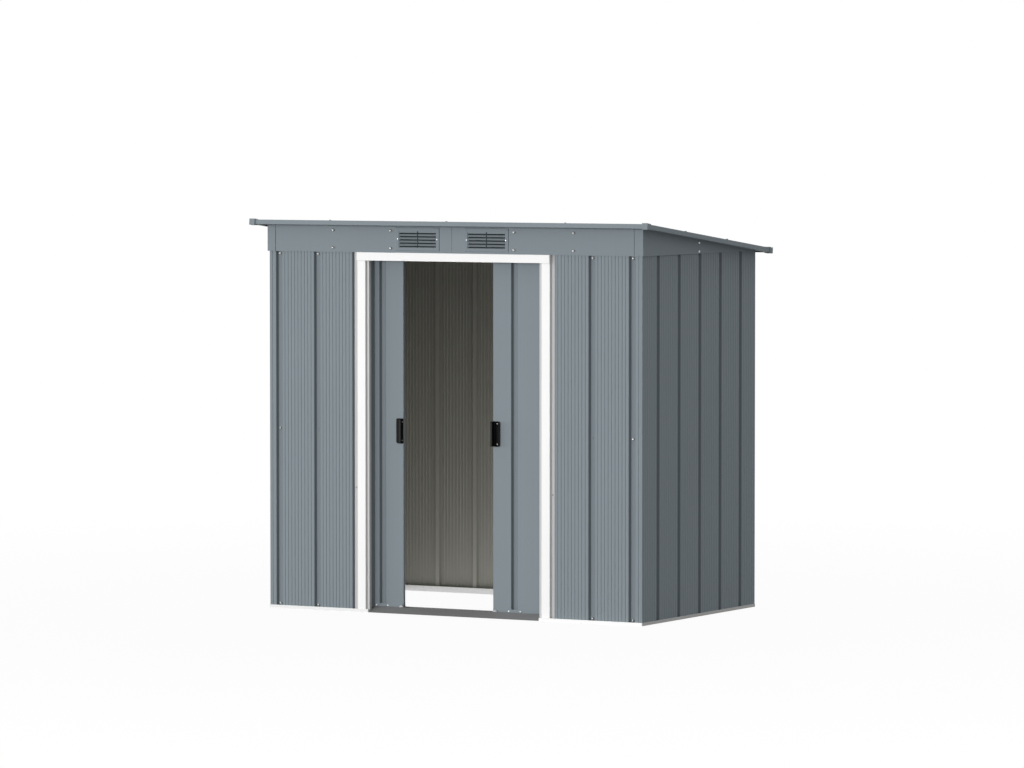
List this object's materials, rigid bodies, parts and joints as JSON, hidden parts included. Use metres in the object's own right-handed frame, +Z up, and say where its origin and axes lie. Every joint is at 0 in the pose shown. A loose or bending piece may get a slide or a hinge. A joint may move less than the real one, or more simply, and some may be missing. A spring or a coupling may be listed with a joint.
{
  "type": "metal storage shed",
  "caption": "Pent-roofed storage shed of ribbed grey steel sheet, with sliding door leaves in a white frame, louvred vents in the fascia and a low ramped threshold.",
  "frame": {"origin": "on the ground, under the middle of the roof's plan", "axes": "+X to the right seen from the front, +Y from the doors to the back wall, +Z up"},
  "size_m": [2.035, 1.224, 1.7655],
  "materials": {
    "wall_coat": "satin grey coated steel sheet",
    "roof_coat": "satin grey coated steel sheet",
    "vent_coat": "satin grey moulded vent plate",
    "frame_white": "white coated steel",
    "base_coat": "pale coated steel channel",
    "ramp_coat": "mid grey coated steel",
    "track_zinc": "zinc plated steel",
    "roller_steel": "zinc plated steel",
    "handle_plastic": "black moulded plastic",
    "shoe_plastic": "white moulded plastic",
    "cap_plastic": "grey moulded plastic"
  },
  "bodies": {
    "shed": {"back_base_rail": "base_coat", "back_roof_trim": "roof_coat", "back_top_rail": "track_zinc", "bottom_track": "track_zinc", "door_head_bar": "frame_white", "front_base_rails": "base_coat", "front_roof_trim": "roof_coat", "left_back_panel": "wall_coat", "left_base_rail": "base_coat", "left_front_panel": "wall_coat", "left_gable": "wall_coat", "left_header": "wall_coat", "left_jamb": "frame_white", "left_jamb_liner": "wall_coat", "left_roof_sheet": "roof_coat", "left_roof_trim": "roof_coat", "left_vent": "vent_coat", "left_wall": "wall_coat", "right_back_panel": "wall_coat", "right_base_rail": "base_coat", "right_front_panel": "wall_coat", "right_gable": "wall_coat", "right_header": "wall_coat", "right_jamb": "frame_white", "right_jamb_liner": "wall_coat", "right_roof_sheet": "roof_coat", "right_roof_trim": "roof_coat", "right_vent": "vent_coat", "right_wall": "wall_coat", "roof_beam": "track_zinc", "roof_corner_caps": "cap_plastic", "threshold_ramp": "ramp_coat", "top_track": "track_zinc"},
    "left_door": {"left_door_bottom_channel": "wall_coat", "left_door_handle": "handle_plastic", "left_door_panel": "wall_coat", "left_door_rollers": "roller_steel", "left_door_shoes": "shoe_plastic", "left_door_top_channel": "wall_coat"},
    "right_door": {"right_door_bottom_channel": "wall_coat", "right_door_handle": "handle_plastic", "right_door_panel": "wall_coat", "right_door_rollers": "roller_steel", "right_door_shoes": "shoe_plastic", "right_door_top_channel": "wall_coat"}
  },
  "joints": [
    {"name": "left_door_slide", "type": "slide", "parent": "shed", "child": "left_door", "axis": [-1, 0, 0], "range_m": [-0.2877, 0.1043]},
    {"name": "right_door_slide", "type": "slide", "parent": "shed", "child": "right_door", "axis": [1, 0, 0], "range_m": [-0.1678, 0.2242]}
  ]
}
